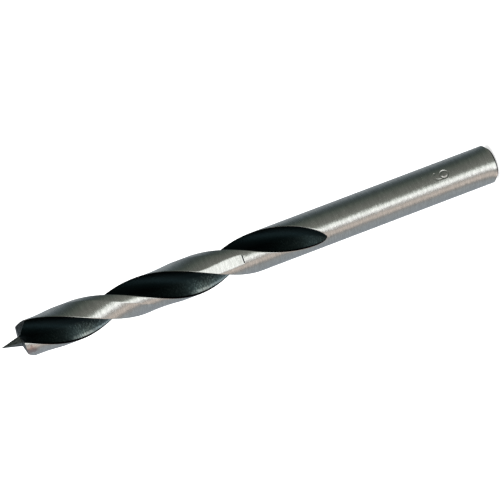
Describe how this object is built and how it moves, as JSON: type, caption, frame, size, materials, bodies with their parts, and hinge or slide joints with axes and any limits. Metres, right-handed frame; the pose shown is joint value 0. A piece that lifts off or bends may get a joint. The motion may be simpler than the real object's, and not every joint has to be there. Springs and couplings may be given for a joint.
{
  "type": "wood drill bit",
  "caption": "Two-flute twist bit for wood, with a centre spur, relieved lands, dark flutes and a plain round shank with a bevelled end.",
  "frame": {"origin": "centre of the flat end of the shank", "axes": "+Z along the bit's axis, from the shank's end to the tip of the spur; at the spur's root the lip of one land points along +X"},
  "size_m": [0.009, 0.009, 0.121],
  "materials": {
    "tool_steel": "ground bright on the shank, lands and point, with black oxide left in the flutes"
  },
  "bodies": {
    "root": {"drill_bit": "tool_steel"}
  },
  "joints": []
}
